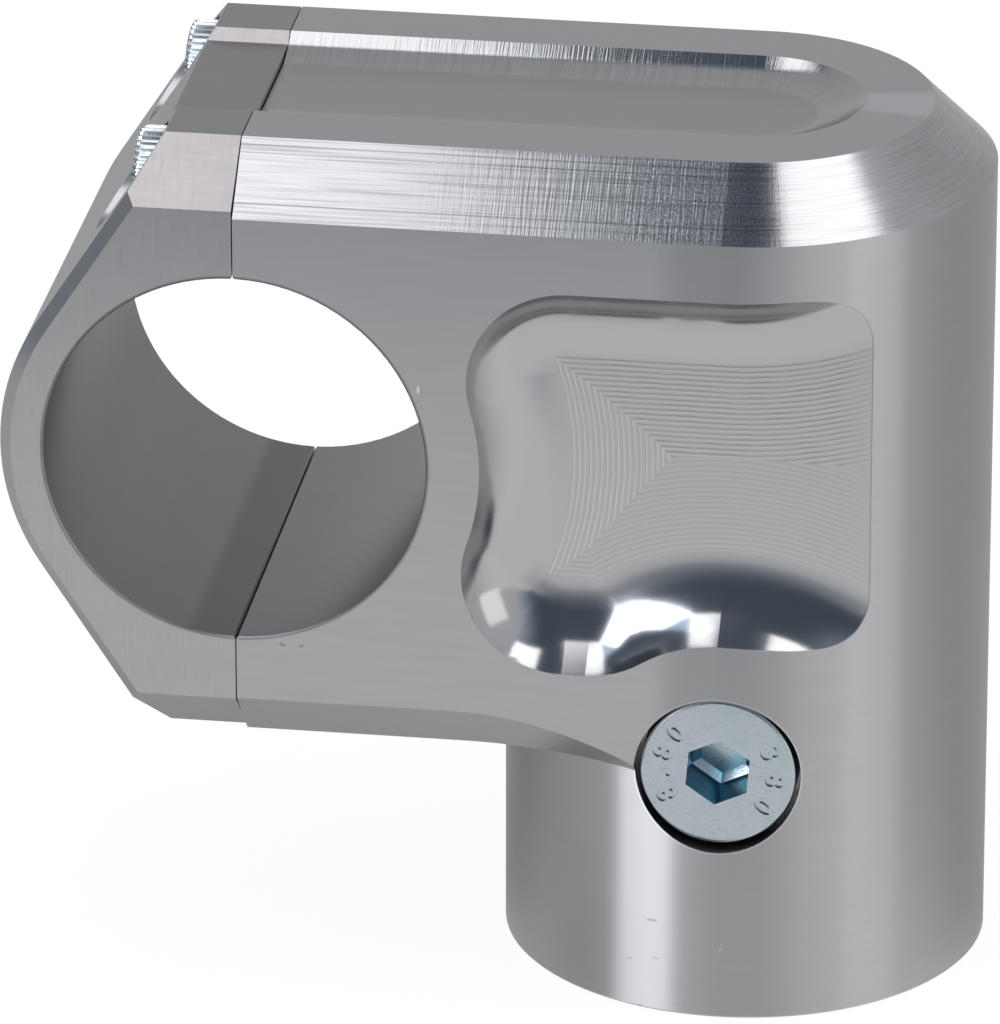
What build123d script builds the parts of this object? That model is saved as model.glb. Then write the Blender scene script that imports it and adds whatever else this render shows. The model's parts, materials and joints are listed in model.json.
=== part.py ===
# Two-piece clamp that carries a handlebar beside and above an upright tube.
#
# Frame: millimetres, +Z up. The origin is the centre of the hub's base. The arm runs towards -X,
# the bar lies along Y, and the milled side pocket and the cross screw face -Y.

import os
from math import cos, radians, sin, sqrt, tan

from build123d import *

# Block: round hub, arm and the bar's place
HUB_RADIUS = 20.25
BAR_RADIUS = 15.9
BAR_HEIGHT = 48.0
BAR_REACH = 40.0
SPLIT_GAP = 0.1
TOP_CHAMFER = 5.25
LOWER_CHAMFER = 4.85
CHAMFER_RUN_OUT_RADIUS = 32.0
BORE_EDGE_BREAK = 0.1
SPLIT_EDGE_BREAK = 0.15
BASE_EDGE_BREAK = 0.2

# Walls round the counterbores of the clamp screws
SCREW_WALL_TO_BAR = 0.8
SCREW_WALL_TO_TOP = 0.5
SCREW_WALL_TO_UNDERSIDE = 0.23

# Cap
CAP_WALL = 3.75
CAP_SLANT_DEGREES = 33.0
CAP_RIM_CHAMFER = 1.0
CAP_CHAMFER_RUN = 5.3
CAP_CHAMFER_DROP = 4.6
CAP_UNDERSIDE_STEP = 0.17
CAP_SLOT_DEPTH = 0.9

# Slot and side pocket, both cut with a ball-nosed cutter
BALL_RADIUS = 8.0
SLOT_HALF_WIDTH = 9.25
SLOT_DEPTH = 1.5
POCKET_DEPTH = 4.0
POCKET_LAND_TO_BAR = 4.4
POCKET_LAND_TO_TOP_CHAMFER = 5.0
POCKET_LAND_TO_LOWER_CHAMFER = 3.9
POCKET_LAND_TO_SCREW = 4.8
POCKET_PATH_CORNER = 1.4
POCKET_UPPER_SWEEP_RADIUS = 32.0
POCKET_LOWER_SWEEP_RADIUS = 26.0

# Stepped socket in the hub
SOCKET_RADIUS = 12.5
SOCKET_DEPTH = 13.0
SOCKET_LEAD_IN = 0.6
UPPER_BORE_RADIUS = 9.5
UPPER_BORE_ABOVE_SCREW = 12.0

# Clamp screws
CLAMP_SCREW_RADIUS = 2.5
CLAMP_SCREW_LENGTH = 20.0
CLAMP_HEAD_RADIUS = 4.25
CLAMP_HEAD_HEIGHT = 5.0
CLAMP_HEAD_EDGE_BREAK = 0.5
CLAMP_HEX_ACROSS_FLATS = 4.0
CLAMP_HEX_DEPTH = 2.5
CLAMP_SCREW_TO_SIDE = 7.95
CLAMP_SEAT_THICKNESS = 3.9

# Cross screw
CROSS_SCREW_RADIUS = 4.0
CROSS_SCREW_LENGTH = 30.0
CROSS_HEAD_RADIUS = 6.5
CROSS_HEAD_HEIGHT = 5.0
CROSS_HEAD_EDGE_BREAK = 0.35
CROSS_HEX_ACROSS_FLATS = 5.0
CROSS_HEX_DEPTH = 3.0
CROSS_HEX_TURN_DEGREES = 25.0
CROSS_SCREW_HEIGHT = 22.0
CROSS_SCREW_SEAT_DEPTH = 6.0

# Both kinds of screw
HEX_POINT_DEGREES = 30.0

# Clearances
CLAMP_HEAD_CLEARANCE = 0.35
CROSS_HEAD_CLEARANCE = 0.4
CLEARANCE_HOLE_GAP = 0.25
THREAD_GAP = 0.05
THREAD_RUN_OUT = 2.0

# How far a cutting shape stands past the surface that it cuts
OVERSHOOT = 5.0

# Heights and places that follow from the sizes above
clamp_counterbore_radius = CLAMP_HEAD_RADIUS + CLAMP_HEAD_CLEARANCE
cross_counterbore_radius = CROSS_HEAD_RADIUS + CROSS_HEAD_CLEARANCE
clamp_screw_spread = HUB_RADIUS - CLAMP_SCREW_TO_SIDE
clamp_screw_offset = BAR_RADIUS + SCREW_WALL_TO_BAR + clamp_counterbore_radius
body_top = BAR_HEIGHT + clamp_screw_offset + clamp_counterbore_radius + SCREW_WALL_TO_TOP
cap_underside = BAR_HEIGHT - clamp_screw_offset - clamp_counterbore_radius - SCREW_WALL_TO_UNDERSIDE
arm_underside = cap_underside - CAP_UNDERSIDE_STEP
body_split_x = -BAR_REACH + SPLIT_GAP / 2
cap_split_x = -BAR_REACH - SPLIT_GAP / 2
clamp_seat_x = cap_split_x - CLAMP_SEAT_THICKNESS
cross_seat_y = -HUB_RADIUS + CROSS_SCREW_SEAT_DEPTH
cap_radius = BAR_RADIUS + CAP_WALL
far_past_arm = BAR_REACH + cap_radius + OVERSHOOT


def cove_width(depth):
    """Width, seen from above, of the curved wall that the ball leaves at a depth."""
    return sqrt(2 * BALL_RADIUS * depth - depth**2)


def bar_bore():
    """Round bore for the bar, with a small break at both rims and where the split meets it."""
    length = 2 * (HUB_RADIUS + OVERSHOOT)
    bore = Cylinder(BAR_RADIUS, length)
    up = (Align.CENTER, Align.CENTER, Align.MIN)
    rim = Cone(BAR_RADIUS + BORE_EDGE_BREAK, BAR_RADIUS, BORE_EDGE_BREAK, align=up)
    near_rim = Pos(0, 0, -HUB_RADIUS) * rim
    far_rim = Rot(X=180) * near_rim
    notch_side = (SPLIT_EDGE_BREAK + SPLIT_GAP / 2) * sqrt(2)
    notch = Rot(Z=45) * Box(notch_side, notch_side, length)
    notches = Pos(0, BAR_RADIUS) * notch + Pos(0, -BAR_RADIUS) * notch
    return Pos(-BAR_REACH, 0, BAR_HEIGHT) * Rot(X=90) * (bore + near_rim + far_rim + notches)


def arm_block():
    """Arm with its round end about the hub axis, chamfered along the top, still whole at the split."""
    plan = Circle(HUB_RADIUS) + Pos(-far_past_arm / 2, 0) * Rectangle(far_past_arm, 2 * HUB_RADIUS)
    block = Pos(0, 0, arm_underside) * extrude(plan, body_top - arm_underside)
    top_outline = block.faces().sort_by(Axis.Z)[-1].edges().sort_by(Axis.X)[1:]
    return chamfer(top_outline, TOP_CHAMFER)


def lower_chamfer_cutter():
    """Chamfer below the arm's front edge that runs out in an arc tangent to the edge and to the hub."""
    inner_y = HUB_RADIUS - LOWER_CHAMFER
    centre_y = inner_y + CHAMFER_RUN_OUT_RADIUS
    run_out_x = -sqrt((HUB_RADIUS + CHAMFER_RUN_OUT_RADIUS) ** 2 - centre_y**2)
    reach = LOWER_CHAMFER + OVERSHOOT
    outer_y = inner_y + reach
    section = Plane.YZ * make_face(Polyline((-inner_y, 0), (-outer_y, 0), (-outer_y, reach), close=True))
    straight = Pos(run_out_x, 0, 0) * extrude(section, -far_past_arm)
    run_out = Cone(
        CHAMFER_RUN_OUT_RADIUS,
        CHAMFER_RUN_OUT_RADIUS - reach,
        reach,
        align=(Align.CENTER, Align.CENTER, Align.MIN),
    )
    return Pos(0, 0, arm_underside) * (straight + Pos(run_out_x, -centre_y, 0) * run_out)


def top_slot_cutter():
    """Shallow slot along the arm, with ball-nosed walls and a round end about the hub axis."""
    half_width = SLOT_HALF_WIDTH - cove_width(SLOT_DEPTH) + BALL_RADIUS
    plan = Circle(half_width) + Pos(-far_past_arm / 2, 0) * Rectangle(far_past_arm, 2 * half_width)
    cutter = Pos(0, 0, body_top - SLOT_DEPTH) * extrude(plan, BALL_RADIUS + OVERSHOOT)
    floor_outline = cutter.faces().sort_by(Axis.Z)[0].edges().sort_by(Axis.X)[1:]
    return fillet(floor_outline, BALL_RADIUS)


def side_pocket_path():
    """Area that the ball's centre covers: clear of bar, chamfers and cross screw, flaring past the hub."""
    cove = cove_width(POCKET_DEPTH)
    top = body_top - TOP_CHAMFER - POCKET_LAND_TO_TOP_CHAMFER - cove
    bottom = arm_underside + LOWER_CHAMFER + POCKET_LAND_TO_LOWER_CHAMFER + cove
    right = HUB_RADIUS + OVERSHOOT
    round_bar = BAR_RADIUS + POCKET_LAND_TO_BAR + cove
    round_screw = cross_counterbore_radius + POCKET_LAND_TO_SCREW + cove
    sweep_top = top + POCKET_UPPER_SWEEP_RADIUS
    sweep_bottom = CROSS_SCREW_HEIGHT + round_screw - POCKET_LOWER_SWEEP_RADIUS

    corner = (Align.MIN, Align.MIN)
    area = Pos(-BAR_REACH, bottom) * Rectangle(BAR_REACH + right, sweep_top - bottom, align=corner)
    area -= Pos(-BAR_REACH, top) * Rectangle(BAR_REACH, POCKET_UPPER_SWEEP_RADIUS, align=corner)
    area -= Pos(0, sweep_top) * Circle(POCKET_UPPER_SWEEP_RADIUS)
    area -= Pos(0, sweep_bottom) * Circle(POCKET_LOWER_SWEEP_RADIUS) & Rectangle(right, sweep_top, align=corner)
    area -= Pos(-BAR_REACH, BAR_HEIGHT) * Circle(round_bar)
    area -= Pos(0, CROSS_SCREW_HEIGHT) * Circle(round_screw)
    area = area.faces().sort_by(Axis.X)[-1]
    return offset(offset(area, -POCKET_PATH_CORNER), POCKET_PATH_CORNER, kind=Kind.ARC)


def side_pocket_cutter():
    """Side pocket as the ball leaves it: flat floor, quarter-round walls and corners, running out of the hub."""
    lowest_centre = HUB_RADIUS - POCKET_DEPTH + BALL_RADIUS
    centres = extrude(Plane.XZ.offset(lowest_centre) * side_pocket_path(), OVERSHOOT)
    return offset(centres, BALL_RADIUS, kind=Kind.ARC)


def screw(radius, length, head_radius, head_height, edge_break, across_flats, hex_depth, turn=0.0):
    """Socket head screw with its head above the seat at Z = 0 and its shank below."""
    head = Cylinder(head_radius, head_height, align=(Align.CENTER, Align.CENTER, Align.MIN))
    head = chamfer(head.edges().group_by(Axis.Z)[-1], edge_break)
    shank = Cylinder(radius, length, align=(Align.CENTER, Align.CENTER, Align.MAX))
    corner_radius = across_flats / sqrt(3)
    point_depth = corner_radius * tan(radians(HEX_POINT_DEGREES))
    hexagon = Rot(Z=turn) * extrude(RegularPolygon(corner_radius, 6), -hex_depth)
    point = Pos(0, 0, -hex_depth) * Cone(
        0, across_flats / 2, point_depth, align=(Align.CENTER, Align.CENTER, Align.MAX)
    )
    return head + shank - Pos(0, 0, head_height) * (hexagon + point)


def clamp_screw():
    """Clamp screw on its own seat."""
    return screw(
        CLAMP_SCREW_RADIUS,
        CLAMP_SCREW_LENGTH,
        CLAMP_HEAD_RADIUS,
        CLAMP_HEAD_HEIGHT,
        CLAMP_HEAD_EDGE_BREAK,
        CLAMP_HEX_ACROSS_FLATS,
        CLAMP_HEX_DEPTH,
    )


def clamp_screw_planes():
    """Seat of each clamp screw, by node name. Each plane faces out of the cap."""
    planes = {}
    for level, height in (("upper", BAR_HEIGHT + clamp_screw_offset), ("lower", BAR_HEIGHT - clamp_screw_offset)):
        for side, y in (("front", -clamp_screw_spread), ("back", clamp_screw_spread)):
            planes[f"clamp_screw_{level}_{side}"] = Plane(
                origin=(clamp_seat_x, y, height), x_dir=(0, 1, 0), z_dir=(-1, 0, 0)
            )
    return planes


def cross_screw_plane():
    """Seat of the cross screw, facing out of the hub's front."""
    return Plane(origin=(0, cross_seat_y, CROSS_SCREW_HEIGHT), x_dir=(1, 0, 0), z_dir=(0, -1, 0))


def screw_hole(counterbore_radius, hole_radius, hole_depth):
    """Counterbore above the seat at Z = 0 and a round hole below it."""
    counterbore = Cylinder(counterbore_radius, far_past_arm, align=(Align.CENTER, Align.CENTER, Align.MIN))
    hole = Cylinder(hole_radius, hole_depth, align=(Align.CENTER, Align.CENTER, Align.MAX))
    return counterbore + hole


def hub_socket():
    """Locating socket in the base, and the wider room that the cross screw passes through above it."""
    up = (Align.CENTER, Align.CENTER, Align.MIN)
    upper_top = CROSS_SCREW_HEIGHT + UPPER_BORE_ABOVE_SCREW
    locating = Cylinder(SOCKET_RADIUS, SOCKET_DEPTH, align=up)
    lead_in = Cone(SOCKET_RADIUS + SOCKET_LEAD_IN, SOCKET_RADIUS, SOCKET_LEAD_IN, align=up)
    return locating + lead_in + Cylinder(UPPER_BORE_RADIUS, upper_top, align=up)


def make_riser_body():
    """Hub and arm in one block, with the fixed half of the bar bore."""
    hub = Cylinder(HUB_RADIUS, arm_underside, align=(Align.CENTER, Align.CENTER, Align.MIN))
    hub = chamfer(hub.edges().group_by(Axis.Z)[0], BASE_EDGE_BREAK)
    front_chamfer = lower_chamfer_cutter()
    arm = arm_block() - front_chamfer - mirror(front_chamfer, Plane.XZ)
    body = hub + arm
    past_split = Pos(body_split_x, 0, BAR_HEIGHT) * Box(
        far_past_arm, 2 * far_past_arm, 2 * body_top, align=(Align.MAX, Align.CENTER, Align.CENTER)
    )
    body = body - past_split - top_slot_cutter()
    body = body - side_pocket_cutter() - bar_bore() - hub_socket()

    tapped_depth = CLAMP_SCREW_LENGTH + THREAD_RUN_OUT
    for plane in clamp_screw_planes().values():
        body -= plane * Cylinder(
            CLAMP_SCREW_RADIUS + THREAD_GAP, tapped_depth, align=(Align.CENTER, Align.CENTER, Align.MAX)
        )

    clearance_hole = screw_hole(
        cross_counterbore_radius, CROSS_SCREW_RADIUS + CLEARANCE_HOLE_GAP, HUB_RADIUS - CROSS_SCREW_SEAT_DEPTH
    )
    tapped_hole = Cylinder(
        CROSS_SCREW_RADIUS + THREAD_GAP,
        CROSS_SCREW_LENGTH + THREAD_RUN_OUT,
        align=(Align.CENTER, Align.CENTER, Align.MAX),
    )
    return body - cross_screw_plane() * (clearance_hole + tapped_hole)


def slanted_profile():
    """Cap seen along the bar: round the bar, then straight up and down at the slant, open past top and bottom."""
    slant = radians(CAP_SLANT_DEGREES)
    run = BAR_HEIGHT
    touch = (-cap_radius * cos(slant), cap_radius * sin(slant))
    end = (touch[0] + run * sin(slant), touch[1] + run * cos(slant))
    upper = Line(end, touch)
    round_bar = ThreePointArc(touch, (-cap_radius, 0), (touch[0], -touch[1]))
    lower = Line((touch[0], -touch[1]), (end[0], -end[1]))
    closing = Line((end[0], -end[1]), end)
    return Pos(-BAR_REACH, BAR_HEIGHT) * make_face(upper + round_bar + lower + closing)


def cap_edge_cutter():
    """Long chamfer along the cap's top front edge, as a bar of triangular section along X."""
    slope = CAP_CHAMFER_DROP / CAP_CHAMFER_RUN
    reach = CAP_CHAMFER_RUN + OVERSHOOT
    corner = (-HUB_RADIUS + CAP_CHAMFER_RUN, 0)
    outer = (corner[0] - reach, 0)
    section = Plane.YZ * make_face(Polyline(corner, outer, (outer[0], -slope * reach), close=True))
    return extrude(section, -far_past_arm)


def make_bar_cap():
    """Removable half of the bar clamp."""
    blank = extrude(Plane.XZ * slanted_profile(), HUB_RADIUS, both=True)
    rims = blank.faces().filter_by(Axis.Y).edges().sort_by(Axis.X)
    rims = rims.filter_by(lambda edge: edge.center().X < cap_split_x)
    blank = chamfer(rims, CAP_RIM_CHAMFER)
    limits = Pos(cap_split_x, 0, cap_underside) * Box(
        far_past_arm,
        2 * (HUB_RADIUS + OVERSHOOT),
        body_top - cap_underside,
        align=(Align.MAX, Align.CENTER, Align.MIN),
    )
    cap = blank & limits

    top_edge = Pos(0, 0, body_top) * cap_edge_cutter()
    bottom_edge = Pos(0, 0, cap_underside) * Rot(X=180) * mirror(cap_edge_cutter(), Plane.XZ)
    for cutter in (top_edge, bottom_edge):
        cap = cap - cutter - mirror(cutter, Plane.XZ)

    slot_top = (SLOT_HALF_WIDTH, 0)
    slot_floor = (SLOT_HALF_WIDTH - CAP_SLOT_DEPTH, -CAP_SLOT_DEPTH)
    slot_section = Plane.YZ * make_face(
        Polyline(slot_top, slot_floor, (-slot_floor[0], slot_floor[1]), (-slot_top[0], slot_top[1]), close=True)
    )
    cap -= Pos(0, 0, body_top) * extrude(slot_section, -far_past_arm)
    cap -= bar_bore()

    hole = screw_hole(
        clamp_counterbore_radius, CLAMP_SCREW_RADIUS + CLEARANCE_HOLE_GAP, CLAMP_SEAT_THICKNESS + OVERSHOOT
    )
    for plane in clamp_screw_planes().values():
        cap -= plane * hole
    return cap


def make_nodes():
    """Every piece in its place, by node name."""
    nodes = {"riser_body": make_riser_body(), "bar_cap": make_bar_cap()}
    for name, plane in clamp_screw_planes().items():
        nodes[name] = plane * clamp_screw()
    nodes["cross_screw"] = cross_screw_plane() * screw(
        CROSS_SCREW_RADIUS,
        CROSS_SCREW_LENGTH,
        CROSS_HEAD_RADIUS,
        CROSS_HEAD_HEIGHT,
        CROSS_HEAD_EDGE_BREAK,
        CROSS_HEX_ACROSS_FLATS,
        CROSS_HEX_DEPTH,
        CROSS_HEX_TURN_DEGREES,
    )
    return nodes


os.makedirs("parts", exist_ok=True)
for name, piece in make_nodes().items():
    export_step(piece, f"parts/{name}.step")
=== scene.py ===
"""Handlebar clamp in milled aluminium with zinc-plated screws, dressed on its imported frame.

Lengths are in metres, as in the frame. Patterns on the metal are worked out in millimetres, from Object coordinates.
"""

import json
import logging
import math
from collections.abc import Callable
from dataclasses import dataclass, field
from enum import Enum
from typing import Any

import bpy
from mathutils import Euler, Matrix, Vector


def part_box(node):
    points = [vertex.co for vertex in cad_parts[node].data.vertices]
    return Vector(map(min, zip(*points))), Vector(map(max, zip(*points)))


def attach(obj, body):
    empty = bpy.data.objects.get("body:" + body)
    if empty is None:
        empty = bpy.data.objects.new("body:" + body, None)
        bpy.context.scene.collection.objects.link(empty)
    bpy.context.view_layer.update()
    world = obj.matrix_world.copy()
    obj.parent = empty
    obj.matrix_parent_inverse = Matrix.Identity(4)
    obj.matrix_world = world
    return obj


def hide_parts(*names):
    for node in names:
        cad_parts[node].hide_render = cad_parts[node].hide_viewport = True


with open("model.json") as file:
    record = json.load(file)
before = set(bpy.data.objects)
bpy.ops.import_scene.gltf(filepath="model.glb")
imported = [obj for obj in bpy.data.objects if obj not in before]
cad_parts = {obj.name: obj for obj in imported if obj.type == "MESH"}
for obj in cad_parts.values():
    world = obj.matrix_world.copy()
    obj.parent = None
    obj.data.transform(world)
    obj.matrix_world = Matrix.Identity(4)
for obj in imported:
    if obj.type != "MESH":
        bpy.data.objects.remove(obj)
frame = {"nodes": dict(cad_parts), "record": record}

log = logging.getLogger("clamp")

MM = 0.001
BODY = "root"
Colour = tuple[float, float, float, float]
Pair = tuple[float, float]
DARK_TINT: Colour = (0.62, 0.84, 1.12, 1.0)
LEVEL: Pair = (0.97, 0.02)
UPRIGHT: Pair = (0.1, 0.05)


class Elements(Enum):
    """Kinds of mesh elements that can be picked, and the edit mode that each needs."""

    VERTICES = "vertices", (True, False, False)
    EDGES = "edges", (False, True, False)
    FACES = "polygons", (False, False, True)


class Field:
    """A number that changes over a surface: a node socket that Python arithmetic works on."""

    def __init__(self, graph: "Graph", socket: Any) -> None:
        """Wraps a socket.

        Args:
            graph: The material's node graph.
            socket: The output socket that gives the number.
        """
        self.graph = graph
        self.socket = socket

    def maths(self, operation: str, *others: "Field | float") -> "Field":
        """Adds one Math node.

        Args:
            operation: The Math node's operation.
            others: The operation's further inputs.

        Returns:
            The node's result.
        """
        node = self.graph.node("ShaderNodeMath", {"operation": operation}, (self, *others))
        return Field(self.graph, node.outputs[0])

    def __add__(self, other: "Field | float") -> "Field":
        """Sum."""
        return self.maths("ADD", other)

    __radd__ = __add__

    def __mul__(self, other: "Field | float") -> "Field":
        """Product."""
        return self.maths("MULTIPLY", other)

    __rmul__ = __mul__

    def __sub__(self, other: "Field | float") -> "Field":
        """Difference."""
        return self.maths("SUBTRACT", other)

    def __rsub__(self, other: float) -> "Field":
        """Difference from a plain number."""
        return self * -1.0 + other

    def __truediv__(self, other: "Field | float") -> "Field":
        """Quotient."""
        return self.maths("DIVIDE", other)

    def __neg__(self) -> "Field":
        """Opposite."""
        return self * -1.0

    def __abs__(self) -> "Field":
        """Size without its sign."""
        return self.maths("ABSOLUTE")

    def times_plus(self, factor: "Field | float", more: "Field | float") -> "Field":
        """Product and sum in one node."""
        return self.maths("MULTIPLY_ADD", factor, more)

    def least(self, other: "Field | float") -> "Field":
        """The smaller of two."""
        return self.maths("MINIMUM", other)

    def most(self, other: "Field | float") -> "Field":
        """The larger of two."""
        return self.maths("MAXIMUM", other)

    def root(self) -> "Field":
        """Square root."""
        return self.maths("SQRT")

    def angle_from(self, other: "Field") -> "Field":
        """Angle whose tangent is this over the other, in radians."""
        return self.maths("ARCTAN2", other)

    def rest(self, period: float) -> "Field":
        """What is left after whole periods, never negative."""
        return self.maths("FLOORED_MODULO", period)

    def above(self, edge: float, soft: float) -> "Field":
        """Smooth step.

        Args:
            edge: Where the step is half way.
            soft: Width of the step.

        Returns:
            0 below the edge, 1 above it.
        """
        settings = {"interpolation_type": "SMOOTHSTEP"}
        node = self.graph.node("ShaderNodeMapRange", settings, (self, edge - soft / 2, edge + soft / 2))
        return Field(self.graph, node.outputs[0])

    def below(self, edge: float, soft: float) -> "Field":
        """1 below the edge, 0 above it."""
        return self.above(edge, -soft)

    def between(self, low: float, high: float, soft: float) -> "Field":
        """1 between two edges, 0 outside them."""
        return self.above(low, soft) * self.below(high, soft)

    def line(self, centre: float, width: float) -> "Field":
        """1 at the centre, fading to 0 at half the width to each side."""
        return abs(self - centre).below(width / 4, width / 2)

    def cover(self, mask: "Field", value: float) -> "Field":
        """The value where the mask is 1, and this number where it is 0."""
        return self * (1.0 - mask) + mask * value


class Graph:
    """Node graph of one material or of the world."""

    def __init__(self, owner: Any) -> None:
        """Starts with an empty tree.

        Args:
            owner: The material or world that the graph belongs to.
        """
        self.owner = owner
        owner.use_nodes = True
        self.tree = owner.node_tree
        self.tree.nodes.clear()
        self.coordinates = self.node("ShaderNodeTexCoord")

    def node(self, kind: str, settings: dict[str, Any] | None = None, inputs: Any = ()) -> Any:
        """Adds a node.

        Args:
            kind: The node's type.
            settings: Its properties, which are set first.
            inputs: Values or links of its sockets, in order or by name.

        Returns:
            The node.
        """
        node = self.tree.nodes.new(kind)
        for key, value in (settings or {}).items():
            setattr(node, key, value)
        pairs = inputs.items() if isinstance(inputs, dict) else enumerate(inputs)
        for key, value in pairs:
            source = value.socket if isinstance(value, Field) else value
            if isinstance(source, bpy.types.NodeSocket):
                self.tree.links.new(source, node.inputs[key])
            else:
                node.inputs[key].default_value = source
        return node

    def parts(self, vector: Any, scale: float = 1.0) -> tuple[Field, Field, Field]:
        """Splits a vector.

        Args:
            vector: The vector's socket.
            scale: What each part is multiplied by.

        Returns:
            Its X, Y and Z.
        """
        split = self.node("ShaderNodeSeparateXYZ", None, (vector,))
        x, y, z = (Field(self, output) for output in split.outputs)
        return (x, y, z) if scale == 1.0 else (x * scale, y * scale, z * scale)

    def place(self) -> tuple[Field, Field, Field]:
        """Object coordinates in millimetres."""
        return self.parts(self.coordinates.outputs["Object"], 1 / MM)

    def facing(self) -> tuple[Field, Field, Field]:
        """Direction that the surface faces, in the frame."""
        return self.parts(self.coordinates.outputs["Normal"])

    def ray(self, kind: str) -> Field:
        """1 for rays of one kind, 0 for others."""
        return Field(self, self.node("ShaderNodeLightPath").outputs[f"Is {kind} Ray"])

    def seen(self) -> Field:
        """1 for rays that show the background to the camera, in metal or through glass."""
        return self.ray("Camera").most(self.ray("Glossy")).most(self.ray("Transmission"))

    def noise(self, x: Field | float, y: Field | float, z: Field | float = 0.0, detail: float = 1.0) -> Field:
        """Smooth noise with a cell about 1 wide.

        Args:
            x: First coordinate.
            y: Second coordinate.
            z: Third coordinate.
            detail: Number of finer layers.

        Returns:
            The noise, from about -1 to 1.
        """
        joined = self.node("ShaderNodeCombineXYZ", None, (x, y, z))
        values = {"Vector": joined.outputs[0], "Scale": 1.0, "Detail": detail, "Roughness": 0.6}
        return Field(self, self.node("ShaderNodeTexNoise", None, values).outputs["Fac"]).times_plus(4.0, -2.0)

    def tint(self, amount: Field, low: Colour, high: Colour) -> Any:
        """Mixes two colours.

        Args:
            amount: 0 for the first colour, 1 for the second.
            low: First colour.
            high: Second colour.

        Returns:
            The mixed colour's socket.
        """
        mix = self.node("ShaderNodeMix", {"data_type": "RGBA"}, {0: amount, 6: low, 7: high})
        return mix.outputs[2]

    def shade(self, colour: Any, factor: Field) -> Any:
        """Darkens or lightens a colour.

        Args:
            colour: The colour or its socket.
            factor: What it is multiplied by.

        Returns:
            The new colour's socket.
        """
        vector = colour[:3] if isinstance(colour, tuple) else colour
        scaled = self.node("ShaderNodeVectorMath", {"operation": "SCALE"}, {0: vector, "Scale": factor})
        return scaled.outputs[0]

    def relief(self, height: Field) -> Any:
        """Bump from a height.

        Args:
            height: Height in millimetres.

        Returns:
            The normal's socket.
        """
        return self.node("ShaderNodeBump", None, {"Strength": 1.0, "Distance": MM, "Height": height}).outputs[0]

    def metal(
        self, colour: Any, roughness: Any, normal: Any = None, anisotropic: float = 0.0, turn: float = 0.0
    ) -> Any:
        """Metal shader.

        Args:
            colour: Base colour.
            roughness: Roughness.
            normal: Normal, or none for the plain one.
            anisotropic: How much wider the gloss is in one direction than in the other.
            turn: Direction of the wide gloss, in whole turns.

        Returns:
            The shader's socket.
        """
        values = {
            "Base Color": colour,
            "Metallic": 1.0,
            "Roughness": roughness,
            "Anisotropic": anisotropic,
            "Anisotropic Rotation": turn,
        }
        if normal is not None:
            values["Normal"] = normal
        return self.node("ShaderNodeBsdfPrincipled", None, values).outputs[0]

    def blend(self, factor: Field, first: Any, second: Any) -> Any:
        """Mixes two shaders.

        Args:
            factor: 0 for the first, 1 for the second.
            first: First shader.
            second: Second shader.

        Returns:
            The mixed shader's socket.
        """
        return self.node("ShaderNodeMixShader", None, (factor, first, second)).outputs[0]

    def finish(self, shader: Any) -> Any:
        """Links the shader to the output.

        Args:
            shader: The shader's socket.

        Returns:
            The material or the world.
        """
        kind = "ShaderNodeOutputWorld" if isinstance(self.owner, bpy.types.World) else "ShaderNodeOutputMaterial"
        self.node(kind, None, (shader,))
        return self.owner


def distance(x: Field, z: Field, centre_x: float, centre_z: float) -> Field:
    """Distance from a line along Y.

    Args:
        x: Across.
        z: Height.
        centre_x: Where the line is across.
        centre_z: Height of the line.

    Returns:
        The distance.
    """
    across = x - centre_x
    over = z - centre_z
    return across.times_plus(across, over * over).root()


@dataclass(frozen=True)
class Places:
    """Places of the object's features in millimetres, read from the frame."""

    bar_x: float
    bar_z: float
    bar_radius: float
    hub_radius: float
    top: float
    front: float
    screw_z: float
    chamfer_band: float = 6.0
    slot_floor: float = 68.0
    slot_edge: float = 0.3
    height_soft: float = 0.2
    bore_band: Pair = (0.25, 0.1)

    @classmethod
    def from_frame(cls) -> "Places":
        """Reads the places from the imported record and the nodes' boxes."""
        mounts = {mount["name"]: mount for mount in frame["record"]["mounts"]}
        low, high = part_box("riser_body")
        screw_low, screw_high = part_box("cross_screw")
        bar = mounts["bar_clamp"]
        return cls(
            bar_x=bar["pos_m"][0] / MM,
            bar_z=bar["pos_m"][2] / MM,
            bar_radius=bar["dims"]["r_mm"],
            hub_radius=high.x / MM,
            top=high.z / MM,
            front=low.y / MM,
            screw_z=(screw_low.z + screw_high.z) / 2 / MM,
        )

    def near_top(self, z: Field) -> Field:
        """1 from the upper chamfer's foot upwards."""
        return z.above(self.top - self.chamfer_band, self.height_soft)

    def in_slot(self, z: Field) -> Field:
        """1 between the slot's floor and the top."""
        return z.between(self.slot_floor, self.top - self.slot_edge, self.height_soft)

    def in_bore(self, bar_distance: Field) -> Field:
        """1 on the wall of the bar's bore."""
        return abs(bar_distance - self.bar_radius).below(*self.bore_band)


@dataclass(frozen=True)
class Stroke:
    """A small scratch or nick on the block's near side, in millimetres and degrees."""

    x: float
    z: float
    length: float
    width: float
    tilt: float
    tone: float

    def mask(self, x: Field, z: Field) -> Field:
        """Where the stroke lies.

        Args:
            x: Across.
            z: Height.

        Returns:
            1 on it, 0 off it.
        """
        turn = math.radians(self.tilt)
        right, over = math.cos(turn), math.sin(turn)
        half_length, half_width = self.length / 2, self.width / 2
        lift_along = z.times_plus(over, -self.x * right - self.z * over)
        lift_aside = z.times_plus(right, self.x * over - self.z * right)
        along = x.times_plus(right / half_length, lift_along * (1 / half_length))
        aside = x.times_plus(-over / half_width, lift_aside * (1 / half_width))
        return along.times_plus(along, aside * aside).below(1.0, 1.0)


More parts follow.
